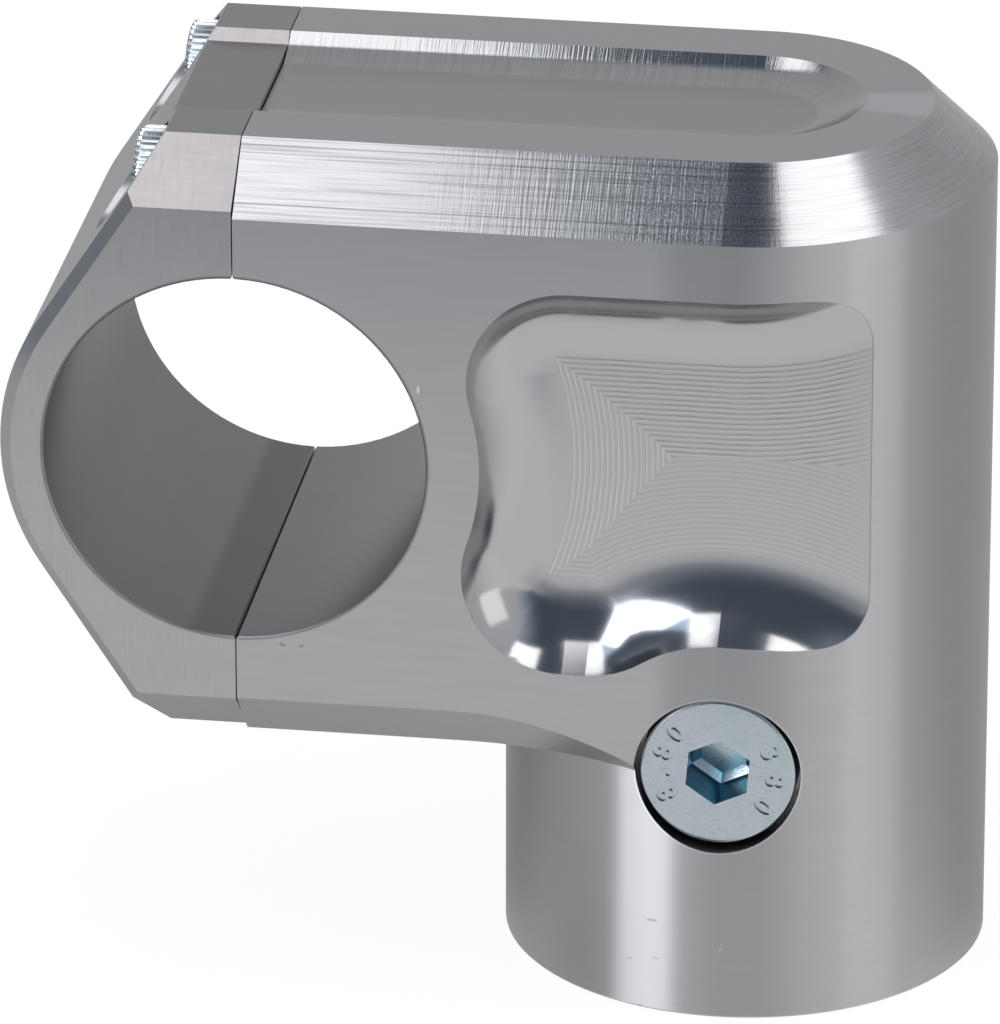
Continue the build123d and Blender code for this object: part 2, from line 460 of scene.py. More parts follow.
@dataclass(frozen=True)
class CutterPath:
    """Rings that the ball-nosed cutter leaves on the pocket's floor, one within the other along its outline.

    The outline has an arc below the upper chamfer, one round the bar and two below. The rings' strength is how much it
    changes and its middle, and that of the chamfer's scratches is given the same way.
    """

    upper_centre: float = 89.21
    upper_radius: float = 32.0
    bar_radius: float = 27.23
    left_radius: float = 18.63
    right_centre: float = 14.63
    right_radius: float = 26.0
    lowest: float = 37.3
    side_soft: float = 0.04
    ring_step: float = 0.46
    wander: float = 0.03
    first_ring: Pair = (0.12, 0.1)
    right_end: Pair = (11.0, 5.0)
    strength: Pair = (0.25, 0.85)
    dark_line: Pair = (0.45, 0.55)
    light_line: Pair = (0.8, 0.5)
    dark_tone: float = -0.12
    dark_by_top: float = -0.26
    dark_by_bar: float = 0.05
    light_tone: float = 0.05
    light_by_top: float = 0.08
    light_by_bar: float = 0.22
    floor_tone: float = 0.03

    def tone(self, graph: Graph, x: Field, z: Field, bar_distance: Field, screw_distance: Field) -> Field:
        """Works out the rings' tone, which differs from one side of the pocket to the next.

        Args:
            graph: The material's graph.
            x: Across.
            z: Height.
            bar_distance: Distance from the bar's axis.
            screw_distance: Distance from the cross screw's axis.

        Returns:
            Change of tone.
        """
        from_top = distance(x.most(0.0), z, 0.0, self.upper_centre) - self.upper_radius
        from_bar = bar_distance - self.bar_radius
        left_low = screw_distance - self.left_radius
        right_low = distance(x, z, 0.0, self.right_centre) - self.right_radius
        from_low = x.above(0.0, 0.02).times_plus(right_low - left_low, left_low).least(z - self.lowest)
        inset = from_top.least(from_bar).least(from_low)
        top_side = (from_bar.least(from_low) - from_top).above(0.0, self.side_soft)
        bar_side = (from_top.least(from_low) - from_bar).above(0.0, self.side_soft)

        cloud = graph.noise(x * 0.5, z * 0.5, 0.0, 0.0)
        phase = cloud.times_plus(self.wander, inset).rest(self.ring_step) / self.ring_step
        inside = inset.above(*self.first_ring) * x.below(*self.right_end) * cloud.times_plus(*self.strength)
        dark = phase.line(*self.dark_line) * inside
        light = phase.line(*self.light_line) * inside
        dark_tone = top_side.times_plus(self.dark_by_top, bar_side.times_plus(self.dark_by_bar, self.dark_tone))
        light_tone = top_side.times_plus(self.light_by_top, bar_side.times_plus(self.light_by_bar, self.light_tone))
        return dark * dark_tone + light * light_tone + self.floor_tone


@dataclass(frozen=True)
class ChamferMarks:
    """Long scratches, hatch and pebbled part of the block's upper chamfer, from the arm's end to the hub."""

    scratches: tuple[Pair, ...] = ((73.9, 0.18), (73.4, 0.14), (70.2, 0.18))
    scratch_tone: float = -0.45
    strength: Pair = (0.3, 0.8)
    long_from: Pair = (0.3, 0.3)
    long_tone: float = -0.16
    fine_tone: float = 0.14
    straight: Pair = (5.0, 1.0)
    straight_tone: float = -0.07
    hub_end: float = 4.6
    hatch_from: float = -24.0
    hatch_soft: float = 10.0
    hatch_tone: float = 0.10
    pebbles_from: float = -9.0
    pebbles_soft: float = 5.0
    pebbles_tone: float = 0.22

    def tone(self, graph: Graph, along: Field, z: Field) -> Field:
        """Works out their tone.

        Args:
            graph: The material's graph.
            along: Distance along the chamfer.
            z: Height.

        Returns:
            Change of tone.
        """
        long_lines = graph.noise(along * 0.04, 0.0, z * 3.6, 1.0)
        fine_lines = graph.noise(along * 0.12, 3.0, z * 9.0, 1.0)
        strokes = graph.noise(along * 5.0, 6.0, z * 0.3, 1.0)
        pebbles = graph.noise(along * 6.0, 9.0, z * 6.0, 0.0)
        straight = along.below(*self.straight)
        hatch = along.between(self.hatch_from, self.hub_end, self.hatch_soft)
        pebbled = along.between(self.pebbles_from, self.hub_end, self.pebbles_soft)
        tone = sum(z.line(*scratch) for scratch in self.scratches)
        tone = tone * fine_lines.times_plus(*self.strength) * self.scratch_tone
        tone = tone + long_lines.above(*self.long_from) * self.long_tone + self.straight_tone
        tone = tone * straight + fine_lines * self.fine_tone
        return tone + hatch * strokes * self.hatch_tone + pebbled * pebbles * self.pebbles_tone


@dataclass(frozen=True)
class BlockFinish:
    """Finish of the milled block, which differs from one cut surface to the next. Painted shade darkens the bar's bore,
    and painted highlights brighten a wedge of the hub's top and a ring round the cross screw's counterbore.

    A pair is an edge and its softness, or a band's two edges. A tone is a share of the colour's brightness.
    """

    places: Places
    colour: Colour = (0.370, 0.365, 0.371, 1.0)
    cutter_path: CutterPath = CutterPath()
    chamfer_marks: ChamferMarks = ChamferMarks()
    flat_roughness: float = 0.26
    wipe_tone: float = 0.03
    wipe_roughness: float = 0.012

    edge_slopes: Pair = (0.5, 0.994)
    edge_soft: float = 0.006
    edge_roughness: float = 0.17
    cove_from: Pair = (0.785, 0.01)
    cove_tone: float = 0.10
    cove_roughness: float = 0.12
    cove_relief: float = 1.3
    hatch_ends: Pair = (-22.0, 4.6)
    hatch_soft: float = 14.0
    hatch_height: float = 0.0016

    pocket_inset: Pair = (0.05, 0.06)
    pocket_back: Pair = (-15.0, 0.5)
    pocket_floor: Pair = (-16.6, 0.5)
    pocket_heights: Pair = (29.5, 65.5)
    pocket_bar_radius: Pair = (18.0, 0.5)
    pocket_tone: float = 1.10
    pocket_wall_roughness: float = 0.14

    # The bar's bore is darkened as painted shade.
    bore_shade_tone: float = -0.38
    bore_roughness: float = 0.34
    slot_tone: float = -0.13
    # A wedge of the top's right end is brightened as a painted highlight.
    sector: Pair = (1.37, 1.76)
    sector_from: Pair = (9.4, 0.5)
    sector_highlight_tone: float = 0.24
    arm_front: Pair = (-18.0, 1.0)

    turned_band: Pair = (0.45, 0.8)
    turned_slopes: Pair = (0.4, 0.3)
    turned_tone: float = 1.16
    turned_roughness: float = 0.34
    ring_tone: float = 0.02
    # Thin ring round the cross screw's counterbore, brightened as a painted highlight of its edge.
    screw_rim: Pair = (6.88, 7.02)
    rim_highlight_tone: float = 0.35
    near_side: Pair = (-6.0, 1.0)
    strokes: tuple[Stroke, ...] = (
        Stroke(-24.72, 55.09, 0.7, 0.22, 88, 0.7),
        Stroke(11.6, 59.9, 1.4, 0.2, 28, 0.4),
        Stroke(12.15, 59.45, 1.2, 0.2, 28, 0.4),
        Stroke(-5.33, 8.29, 0.9, 0.22, 4, -0.4),
        Stroke(-7.24, 4.35, 0.6, 0.2, 8, -0.3),
        Stroke(-5.05, 4.84, 0.7, 0.2, -6, -0.3),
        Stroke(0.47, 6.27, 0.7, 0.18, 60, 0.3),
        Stroke(-6.33, 0.1, 0.5, 0.35, 0, -0.6),
        Stroke(-36.1, 31.62, 0.5, 0.25, -25, -0.35),
        Stroke(-34.52, 31.58, 0.4, 0.25, 10, -0.3),
    )

    def build(self) -> bpy.types.Material:
        """Makes the material."""
        places = self.places
        graph = Graph(bpy.data.materials.new("milled_block"))
        x, y, z = graph.place()
        up = graph.facing()[2]
        past_hub = x.most(0.0)
        hub_distance = x.times_plus(x, y * y).root()
        bar_distance = distance(x, z, places.bar_x, places.bar_z)

        edges = up.between(*self.edge_slopes, self.edge_soft) * places.near_top(z)
        inset, soft = self.pocket_inset
        pocket = past_hub.times_plus(past_hub, y * y).root().below(places.hub_radius - inset, soft)
        pocket = pocket * y.below(*self.pocket_back) * z.between(*self.pocket_heights, places.height_soft)
        pocket = pocket * bar_distance.above(*self.pocket_bar_radius)
        turned = abs(hub_distance - places.hub_radius).below(*self.turned_band)
        turned = turned * abs(up).below(*self.turned_slopes) * (1.0 - pocket)

        shader = graph.blend(pocket, self.plain(graph, hub_distance, bar_distance), self.cut(graph, bar_distance))
        shader = graph.blend(edges, shader, self.edge(graph, past_hub))
        return graph.finish(graph.blend(turned, shader, self.lathe(graph)))

    def plain(self, graph: Graph, hub_distance: Field, bar_distance: Field) -> Any:
        """Makes the shader of the flat faces, the slot and the bar's bore, whose darkening is painted shade.

        Args:
            graph: The material's graph.
            hub_distance: Distance from the hub's axis.
            bar_distance: Distance from the bar's axis.

        Returns:
            The shader's socket.
        """
        x, y, z = graph.place()
        up = graph.facing()[2]
        bore = self.places.in_bore(bar_distance)
        level = up.above(*LEVEL)
        wipe = graph.noise(x * 0.14, y * 0.5, z * 1.3, 2.0)
        # Painted highlight: a wedge of the level top past the hub's middle is made lighter.
        sector = x.angle_from(y).between(*self.sector, 0.1) * hub_distance.above(*self.sector_from) * level
        tone = (abs(up).below(*UPRIGHT) * wipe).times_plus(self.wipe_tone, 1.0)
        tone = tone * sector.times_plus(self.sector_highlight_tone, 1.0)
        tone = tone * (level * self.places.in_slot(z)).times_plus(self.slot_tone, 1.0)
        # Painted shade darkens the bar's bore.
        tone = tone * bore.times_plus(wipe.times_plus(self.wipe_tone, self.bore_shade_tone), 1.0)
        tone = tone * self.nicks(x, z, True).times_plus(y.below(*self.arm_front), 1.0)
        roughness = bore.times_plus(self.bore_roughness - self.flat_roughness, self.flat_roughness)
        return graph.metal(graph.shade(self.colour, tone), wipe.times_plus(self.wipe_roughness, roughness))

    def cut(self, graph: Graph, bar_distance: Field) -> Any:
        """Makes the shader of the pocket, with the cutter's rings on its floor.

        Args:
            graph: The material's graph.
            bar_distance: Distance from the bar's axis.

        Returns:
            The shader's socket.
        """
        x, y, z = graph.place()
        floor = y.above(*self.pocket_floor)
        screw_distance = distance(x, z, 0.0, self.places.screw_z)
        rings = self.cutter_path.tone(graph, x, z, bar_distance, screw_distance)
        rougher = self.flat_roughness - self.pocket_wall_roughness
        roughness = floor.times_plus(rougher, self.pocket_wall_roughness)
        return graph.metal(graph.shade(self.colour, floor.times_plus(rings, self.pocket_tone)), roughness)

    def edge(self, graph: Graph, past_hub: Field) -> Any:
        """Makes the shader of the upper chamfer and of the slot's coves.

        Args:
            graph: The material's graph.
            past_hub: Distance past the hub's axis, away from the arm.

        Returns:
            The shader's socket.
        """
        x, y, z = graph.place()
        along = x.least(0.0) + past_hub.angle_from(-y) * self.places.hub_radius
        cove = graph.facing()[2].above(*self.cove_from)
        hatch = graph.noise(along * 4.8, z * 0.35, 0.0, 1.0)
        tone = self.chamfer_marks.tone(graph, along, z) * (1.0 - cove) + (cove * hatch) * self.cove_tone + 1.0
        hatched = along.between(*self.hatch_ends, self.hatch_soft).most(cove * self.cove_relief)
        normal = graph.relief((hatched * hatch) * self.hatch_height)
        roughness = cove.times_plus(self.cove_roughness - self.edge_roughness, self.edge_roughness)
        return graph.metal(graph.shade(self.colour, tone), roughness, normal)

    def lathe(self, graph: Graph) -> Any:
        """Makes the shader of the turned hub, whose gloss is drawn out in one direction, with a painted highlight round
        the cross screw's counterbore.

        Args:
            graph: The material's graph.

        Returns:
            The shader's socket.
        """
        x, y, z = graph.place()
        rings = graph.noise(x * 0.2, y * 0.2, z * 3.0, 1.0)
        # The light ring at the counterbore's rim is a painted highlight of its edge; the strokes added to it are nicks.
        rim = distance(x, z, 0.0, self.places.screw_z).between(*self.screw_rim, 0.08)
        rim_highlight_and_nicks = rim * self.rim_highlight_tone + self.nicks(x, z, False)
        tone = rings * self.ring_tone + rim_highlight_and_nicks * y.below(*self.near_side) + self.turned_tone
        return graph.metal(graph.shade(self.colour, tone), self.turned_roughness, anisotropic=1.0, turn=0.25)

    def nicks(self, x: Field, z: Field, on_arm: bool) -> Field:
        """Sums the strokes of the arm's front or of the hub.

        Args:
            x: Across.
            z: Height.
            on_arm: Whether those above the cross screw's axis are summed, or those below it.

        Returns:
            Change of tone.
        """
        total = 0.0
        for stroke in self.strokes:
            if (stroke.z > self.places.screw_z) == on_arm:
                total = stroke.mask(x, z).times_plus(stroke.tone, total)
        return total


@dataclass(frozen=True)
class CapFinish:
    """Finish of the cap: upright hairlines on its faces and a woven look on its sloped edges, with painted shade in the
    bar's bore.
    """

    places: Places
    colour: Colour = (0.362, 0.362, 0.366, 1.0)
    rosy: Colour = (0.375, 0.342, 0.334, 1.0)
    edge_slopes: Pair = (0.5, 0.9)
    edge_soft: float = 0.04
    hair_tone: float = 0.03
    hair_height: float = 0.0006
    wipe_tone: float = 0.025
    upper_part: Pair = (58.0, 20.0)
    upper_tone: float = -0.06
    # The bar's bore is darkened as painted shade.
    bore_shade_tone: float = -0.42
    weave_tone: float = 0.05
    weave_height: float = 0.0015
    top_tone: float = -0.28
    slot_tone: float = -0.07
    roughness: float = 0.27
    edge_rougher: float = 0.08
    bore_rougher: float = 0.08
    outer_side: Pair = (-0.75, 0.1)
    outer_rougher: float = 0.10

    def build(self) -> bpy.types.Material:
        """Makes the material."""
        graph = Graph(bpy.data.materials.new("milled_cap"))
        x, y, z = graph.place()
        side, _, up = graph.facing()
        slopes = up.between(*self.edge_slopes, self.edge_soft) * self.places.near_top(z)
        upright = abs(up).below(*UPRIGHT)
        level = up.above(*LEVEL)
        bore = self.places.in_bore(distance(x, z, self.places.bar_x, self.places.bar_z))
        weave = graph.noise(x * 4.5, y * 0.5, z * 0.5, 1.0) + graph.noise(x * 0.5, y * 4.5, z * 4.5, 1.0)
        hairs = graph.noise(x * 6.0, y, z * 0.3, 1.0)
        wipe = graph.noise(x * 0.3, y * 0.3, z * 0.5, 2.0)

        tone = (upright * hairs).times_plus(self.hair_tone, wipe.times_plus(self.wipe_tone, 1.0))
        tone = tone * (upright * z.above(*self.upper_part)).times_plus(self.upper_tone, 1.0)
        # Painted shade darkens the bar's bore.
        tone = tone * bore.times_plus(self.bore_shade_tone, 1.0) * (slopes * weave).times_plus(self.weave_tone, 1.0)
        tone = tone * level.times_plus(self.top_tone, 1.0)
        tone = tone * (level * self.places.in_slot(z)).times_plus(self.slot_tone, 1.0)
        colour = graph.shade(graph.tint(slopes, self.colour, self.rosy), tone)
        height = (slopes * weave).times_plus(self.weave_height, (upright * hairs) * self.hair_height)
        roughness = slopes.times_plus(self.edge_rougher, bore.times_plus(self.bore_rougher, self.roughness))
        roughness = roughness + side.below(*self.outer_side) * self.outer_rougher
        return graph.finish(graph.metal(colour, roughness, graph.relief(height)))


@dataclass(frozen=True)
class ZincPlate:
    """Bluish zinc plating of the screws, deeper in tone on the walls of the cross screw's socket."""

    places: Places
    name: str = "zinc_plate"
    colour: Colour = (0.37, 0.43, 0.45, 1.0)
    second: Colour = (0.42, 0.455, 0.50, 1.0)
    deep: Colour = (0.20, 0.44, 0.56, 1.0)
    roughness: float = 0.24
    grain_roughness: float = 0.03
    grain_tone: float = 0.05
    grain_height: float = 0.002
    scuffs_from: Pair = (0.75, 0.3)
    scuff_tone: float = -0.07
    socket_radius: Pair = (3.3, 0.3)
    socket_edge: float = 1.12

    def build(self) -> bpy.types.Material:
        """Makes the material."""
        graph = Graph(bpy.data.materials.new(self.name))
        x, y, z = graph.place()
        cloud = graph.noise(x * 0.35, y * 0.35, z * 0.35, 2.0)
        grain = graph.noise(x * 4.0, y * 4.0, z * 4.0, 1.0)
        scuffs = graph.noise(x.times_plus(1.5, z * 3.0), y * 2.0, z.times_plus(1.2, x * -1.8), 0.0)
        socket = distance(x, z, 0.0, self.places.screw_z).below(*self.socket_radius)
        socket = socket * y.above(self.places.front + self.socket_edge, 0.2) * abs(graph.facing()[1]).below(0.5, 0.2)
        plain = graph.tint(cloud.times_plus(0.5, 0.5), self.colour, self.second)
        tone = grain * self.grain_tone + scuffs.above(*self.scuffs_from) * self.scuff_tone + 1.0
        colour = graph.shade(graph.tint(socket, plain, self.deep), tone)
        roughness = grain.times_plus(self.grain_roughness, self.roughness)
        return graph.finish(graph.metal(colour, roughness, graph.relief(grain * self.grain_height)))


class Workbench:
    """Modelling steps shared by the new pieces."""

    @staticmethod
    def activate(piece: bpy.types.Object) -> None:
        """Makes one piece the only one selected, and the active one."""
        bpy.ops.object.select_all(action="DESELECT")
        bpy.context.view_layer.objects.active = piece
        piece.select_set(True)

    @staticmethod
    def apply(piece: bpy.types.Object) -> None:
        """Moves a piece's place, turn and size into its mesh."""
        Workbench.activate(piece)
        bpy.ops.object.transform_apply(location=True, rotation=True, scale=True)

    @staticmethod
    def pick(piece: bpy.types.Object, kind: Elements, wanted: Callable[[Any], bool]) -> None:
        """Enters edit mode with chosen elements selected, and no others.

        Args:
            piece: The piece.
            kind: What is picked.
            wanted: Says whether an element is picked.
        """
        Workbench.activate(piece)
        mesh = piece.data
        for other in (mesh.vertices, mesh.edges, mesh.polygons):
            other.foreach_set("select", [False] * len(other))
        collection, mode = kind.value
        for element in getattr(mesh, collection):
            element.select = wanted(element)
        bpy.context.tool_settings.mesh_select_mode = mode
        bpy.ops.object.mode_set(mode="EDIT")

    @staticmethod
    def bevel(piece: bpy.types.Object, height: float, size: float, segments: int) -> None:
        """Bevels the edges at one height.

        Args:
            piece: The piece.
            height: Height of the edges.
            size: Width of the bevel.
            segments: Its number of segments.
        """
        points = piece.data.vertices
        tolerance = 1e-6

        def at_height(edge: Any) -> bool:
            """Whether both ends of an edge are at the height."""
            return all(abs(points[end].co.z - height) < tolerance for end in edge.vertices)

        Workbench.pick(piece, Elements.EDGES, at_height)
        bpy.ops.mesh.bevel(offset=size, segments=segments, affect="EDGES")
        bpy.ops.object.mode_set(mode="OBJECT")

    @staticmethod
    def cylinder(name: str, radius: float, low: float, high: float, sides: int) -> bpy.types.Object:
        """Adds an upright cylinder.

        Args:
            name: Name of the object.
            radius: Its radius.
            low: Height of its lower end.
            high: Height of its upper end.
            sides: Number of sides.

        Returns:
            The new object.
        """
        bpy.ops.object.select_all(action="DESELECT")
        middle = (0, 0, (low + high) / 2)
        bpy.ops.mesh.primitive_cylinder_add(vertices=sides, radius=radius, depth=high - low, location=middle)
        piece = bpy.context.active_object
        piece.name = name
        Workbench.apply(piece)
        return piece

    @staticmethod
    def boolean(piece: bpy.types.Object, other: bpy.types.Object, operation: str) -> None:
        """Combines two shapes and removes the second.

        Args:
            piece: The shape that stays.
            other: The shape that is used up.
            operation: The Boolean modifier's operation.
        """
        modifier = piece.modifiers.new("boolean", "BOOLEAN")
        modifier.operation = operation
        modifier.object = other
        modifier.solver = "EXACT"
        Workbench.activate(piece)
        bpy.ops.object.modifier_apply(modifier=modifier.name)
        bpy.data.objects.remove(other)

    @staticmethod
    def settle(piece: bpy.types.Object, placement: Matrix) -> None:
        """Puts a piece in its place, which its mesh then holds.

        Args:
            piece: The finished piece.
            placement: Where it goes in the frame.
        """
        piece.matrix_world = placement
        Workbench.apply(piece)

    @staticmethod
    def smooth(piece: bpy.types.Object, degrees: float) -> None:
        """Shades smooth across edges flatter than an angle.

        Args:
            piece: The piece.
            degrees: The angle.
        """
        Workbench.activate(piece)
        bpy.ops.object.shade_smooth_by_angle(angle=math.radians(degrees))


@dataclass(frozen=True)
class Stamp:
    """One character pressed into a screw's head, at an angle in degrees round its centre."""

    character: str
    angle: float
    radius: float = 4.85 * MM
    height: float = 1.65 * MM
    depth: float = 0.22 * MM
    boldness: float = 0.07 * MM
    curve_steps: int = 3
    font_height: float = 0.72

    def model(self, face: float) -> bpy.types.Object:
        """Makes the character's solid shape, its top away from the head's centre.

        Args:
            face: Height of the face that it is pressed into.

        Returns:
            The shape.
        """
        bpy.ops.object.select_all(action="DESELECT")
        bpy.ops.object.text_add()
        letter = bpy.context.active_object
        letter.data.body = self.character
        letter.data.size = self.height / self.font_height
        letter.data.align_x = "CENTER"
        letter.data.offset = self.boldness
        letter.data.resolution_u = self.curve_steps
        letter.data.extrude = self.depth
        bpy.ops.object.convert(target="MESH")
        letter = bpy.context.active_object
        turn = Matrix.Rotation(math.radians(self.angle - 90), 4, "Z")
        outward = Matrix.Translation((0, self.radius - self.height / 2, face))
        Workbench.settle(letter, turn @ outward)
        return letter


@dataclass
class SocketScrew:
    """Socket head screw, modelled upright with its seat at Z = 0."""

    name: str
    shank_radius: float
    shank_length: float
    head_radius: float
    head_height: float
    edge_round: float
    across_flats: float
    socket_depth: float
    socket_turn: float = 0.0
    ridges: int = 0
    ridge_depth: float = 0.0
    stamps: tuple[Stamp, ...] = ()
    sides: int = 160
    shank_sides: int = 64
    round_segments: int = 5
    smooth_degrees: float = 32
    tip_chamfer: float = 0.5 * MM
    point_angle: float = math.radians(30)

    def model(self) -> bpy.types.Object:
        """Makes the screw.

        Returns:
            The screw, upright at the origin.
        """
        head = Workbench.cylinder(self.name, self.head_radius, 0, self.head_height, self.sides)
        Workbench.bevel(head, self.head_height, self.edge_round, self.round_segments)
        Workbench.bevel(head, 0.0, self.edge_round / 3, 1)
        if self.ridges:
            self.knurl(head)
        Workbench.boolean(head, self.socket(), "DIFFERENCE")
        for stamp in self.stamps:
            Workbench.boolean(head, stamp.model(self.head_height), "DIFFERENCE")
        tip = -self.shank_length
        shank = Workbench.cylinder(f"{self.name}_shank", self.shank_radius, tip, self.edge_round, self.shank_sides)
        Workbench.bevel(shank, tip, self.tip_chamfer, 1)
        Workbench.boolean(head, shank, "UNION")
        Workbench.smooth(head, self.smooth_degrees)
        return head

    def knurl(self, head: bpy.types.Object) -> None:
        """Presses straight grooves into the head's side.

        Args:
            head: The rounded head.
        """
        groove_radius = self.head_radius - self.ridge_depth
        per_ridge = self.sides // self.ridges
        step = math.tau / self.sides

        def in_groove(vertex: Any) -> bool:
            """Whether a point belongs to a groove."""
            turn = round(math.atan2(vertex.co.y, vertex.co.x) / step) % per_ridge
            return turn >= per_ridge // 2 and vertex.co.xy.length > groove_radius

        Workbench.pick(head, Elements.VERTICES, in_groove)
        shrink = groove_radius / self.head_radius
        bpy.ops.transform.resize(value=(shrink, shrink, 1), center_override=(0, 0, 0))
        bpy.ops.object.mode_set(mode="OBJECT")

    def socket(self) -> bpy.types.Object:
        """Makes the six-sided hole with its conical bottom.

        Returns:
            The hole's shape.
        """
        corner = self.across_flats / math.sqrt(3)
        floor = self.head_height - self.socket_depth
        hole = Workbench.cylinder(f"{self.name}_hole", corner, floor, self.head_height + 1 * MM, 6)
        Workbench.pick(hole, Elements.FACES, lambda face: face.normal.z < -0.9)
        drop = corner * math.tan(self.point_angle)
        bpy.ops.mesh.extrude_region_move(TRANSFORM_OT_translate={"value": (0, 0, -drop)})
        bpy.ops.mesh.merge(type="CENTER")
        bpy.ops.object.mode_set(mode="OBJECT")
        Workbench.settle(hole, Matrix.Rotation(self.socket_turn - math.radians(30), 4, "Z"))
        return hole


@dataclass
class ClampScrews:
    """The four knurled screws that hold the cap."""

    finish: bpy.types.Material
    nodes: tuple[str, ...] = (
        "clamp_screw_upper_front",
        "clamp_screw_upper_back",
        "clamp_screw_lower_front",
        "clamp_screw_lower_back",
    )
    head_height: float = 5 * MM

    def build(self) -> None:
        """Models one screw and sets a copy on each seat."""
        low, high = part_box(self.nodes[0])
        master = SocketScrew(
            name="clamp_screw_master",
            shank_radius=2.5 * MM,
            shank_length=high.x - low.x - self.head_height,
            head_radius=(high.y - low.y) / 2,
            head_height=self.head_height,
            edge_round=0.5 * MM,
            across_flats=4 * MM,
            socket_depth=2.5 * MM,
            ridges=40,
            ridge_depth=0.22 * MM,
        ).model()
        for node in self.nodes:
            low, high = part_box(node)
            piece = master.copy()
            piece.data = master.data.copy()
            piece.name = f"{node}_knurled"
            bpy.context.scene.collection.objects.link(piece)
            seat = Vector((low.x + self.head_height, (low.y + high.y) / 2, (low.z + high.z) / 2))
            Workbench.settle(piece, Matrix.Translation(seat) @ Euler((0, -math.pi / 2, 0)).to_matrix().to_4x4())
            piece.data.materials.append(self.finish)
            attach(piece, BODY)
            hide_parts(node)
            log.info("made %s", piece.name)
        bpy.data.objects.remove(master)


@dataclass
class CrossScrew:
    """Low head screw that clamps the hub, with plain numbers pressed into its face."""

    finish: bpy.types.Material
    node: str = "cross_screw"
    head_height: float = 5 * MM
    socket_turn: float = math.radians(25)
    stamps: tuple[Stamp, ...] = (
        Stamp("8", 208),
        Stamp(".", 186),
        Stamp("8", 162),
        Stamp("0", 137),
        Stamp("3", 24),
        Stamp("8", -6),
        Stamp("0", -37),
    )

    def build(self) -> None:
        """Models the screw on its seat."""
        low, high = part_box(self.node)
        piece = SocketScrew(
            name="cross_screw_stamped",
            shank_radius=4 * MM,
            shank_length=high.y - low.y - self.head_height,
            head_radius=(high.x - low.x) / 2,
            head_height=self.head_height,
            edge_round=0.35 * MM,
            across_flats=5.1 * MM,
            socket_depth=4.2 * MM,
            socket_turn=self.socket_turn,
            stamps=self.stamps,
        ).model()
        seat = Vector(((low.x + high.x) / 2, low.y + self.head_height, (low.z + high.z) / 2))
        Workbench.settle(piece, Matrix.Translation(seat) @ Euler((math.pi / 2, 0, 0)).to_matrix().to_4x4())
        piece.data.materials.append(self.finish)
        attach(piece, BODY)
        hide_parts(self.node)
        log.info("made %s", piece.name)


@dataclass
class MilledPieces:
    """The block and the cap, which keep their own meshes."""

    finishes: dict[str, bpy.types.Material]

    def dress(self) -> None:
        """Gives each piece its finish."""
        for name, finish in self.finishes.items():
            piece = frame["nodes"][name]
            piece.data.materials.clear()
            piece.data.materials.append(finish)
            log.info("dressed %s", name)


@dataclass(frozen=True)
class FloorFinish:
    """Finish of the pale table top, white to the camera.

    In metal it is darker at the back, as painted fall-off of the light, holds a painted shadow under the arm, and is
    dark beyond its front edge. Lengths are in millimetres, and angles in radians from the front towards the right.
    """

    colour: Colour = (0.9, 0.9, 0.9, 1.0)
    glow_tint: Colour = (1.0, 1.0, 1.0, 1.0)
    dark_tint: Colour = DARK_TINT
    glow_share: float = 0.92
    back_level: float = 0.51
    front_more: float = 0.47
    front_left: Pair = (-1.5, 0.9)
    front_right: Pair = (1.35, 1.2)
    right_band: Pair = (0.6, 1.4)
    right_soft: float = 0.5
    right_more: float = 0.05
    # Painted shadow of the arm on the floor, seen in metal.
    arm_depth: Pair = (30.0, 25.0)
    arm_ends: Pair = (-85.0, -8.0)
    arm_soft: float = 25.0
    arm_shadow_drop: float = -0.28
    edge_front: Pair = (-215.0, 120.0)
    edge_right: Pair = (70.0, 110.0)
    edge_level: float = 0.15

    def build(self) -> bpy.types.Material:
        """Makes the material."""
        graph = Graph(bpy.data.materials.new("pale_floor"))
        x, y, _ = graph.place()
        # The glow that metal sees is painted shade: it falls off towards the back, and holds a painted shadow under the
        # arm.
        azimuth = x.angle_from(-y)
        level = azimuth.above(*self.front_left) * azimuth.below(*self.front_right)
        level = level.times_plus(self.front_more, self.back_level)
        level = level + azimuth.between(*self.right_band, self.right_soft) * self.right_more
        painted_arm_shadow = abs(y).below(*self.arm_depth) * x.between(*self.arm_ends, self.arm_soft)
        level = level * painted_arm_shadow.times_plus(self.arm_shadow_drop, 1.0)
        beyond = y.below(*self.edge_front) * x.below(*self.edge_right)
        camera = graph.ray("Camera")
        level = level.cover(beyond, self.edge_level).cover(camera, 1.0)
        tint = graph.tint(beyond * (1.0 - camera), self.glow_tint, self.dark_tint)
        diffuse = graph.node("ShaderNodeBsdfDiffuse", None, {"Color": self.colour}).outputs[0]
        glow = graph.node("ShaderNodeEmission", None, {"Color": tint, "Strength": level}).outputs[0]
        return graph.finish(graph.blend(graph.seen() * self.glow_share, diffuse, glow))


